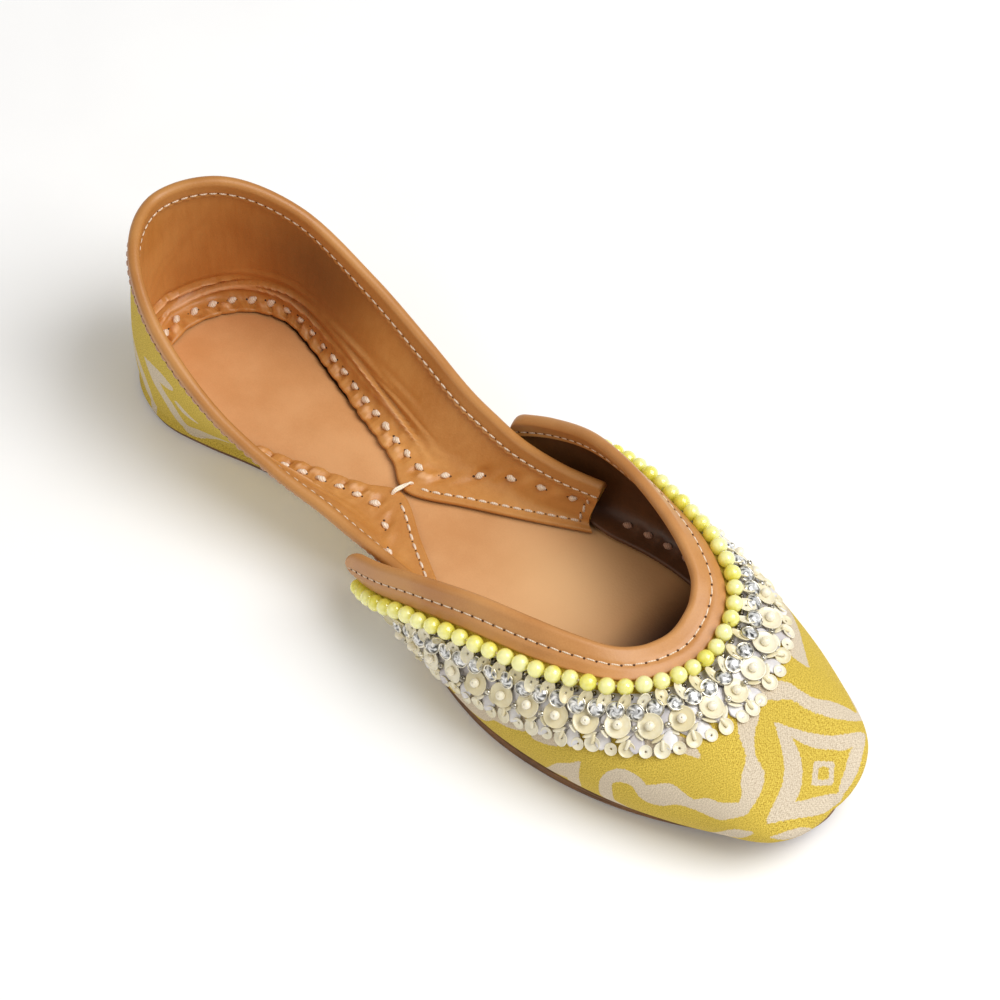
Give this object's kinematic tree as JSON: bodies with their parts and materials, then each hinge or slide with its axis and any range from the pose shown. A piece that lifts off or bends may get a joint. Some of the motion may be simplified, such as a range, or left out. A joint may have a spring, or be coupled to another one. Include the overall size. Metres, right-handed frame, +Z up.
{
  "type": "khussa",
  "caption": "Flat slip-on shoe with a low leather-lined quarter whose wings run inside a printed vamp, bound toplines, a strand of round beads and a sequin trim on a thin leather sole.",
  "frame": {"origin": "on the floor under the middle of the shoe", "axes": "+X from heel to toe, +Y to the wearer's left, +Z up"},
  "size_m": [0.2517, 0.0848, 0.0596],
  "materials": {
    "sole": "matt dark brown leather",
    "lining": "smooth tan leather",
    "cloth": "printed woven cloth",
    "binding": "smooth tan leather",
    "beads": "translucent glossy",
    "sequins": "pearly glossy"
  },
  "bodies": {
    "root": {"outsole": "sole", "insole": "lining", "upper": "cloth", "quarter_binding": "binding", "vamp_binding": "binding", "bead_strand": "beads", "sequin_band": "sequins"}
  },
  "joints": []
}
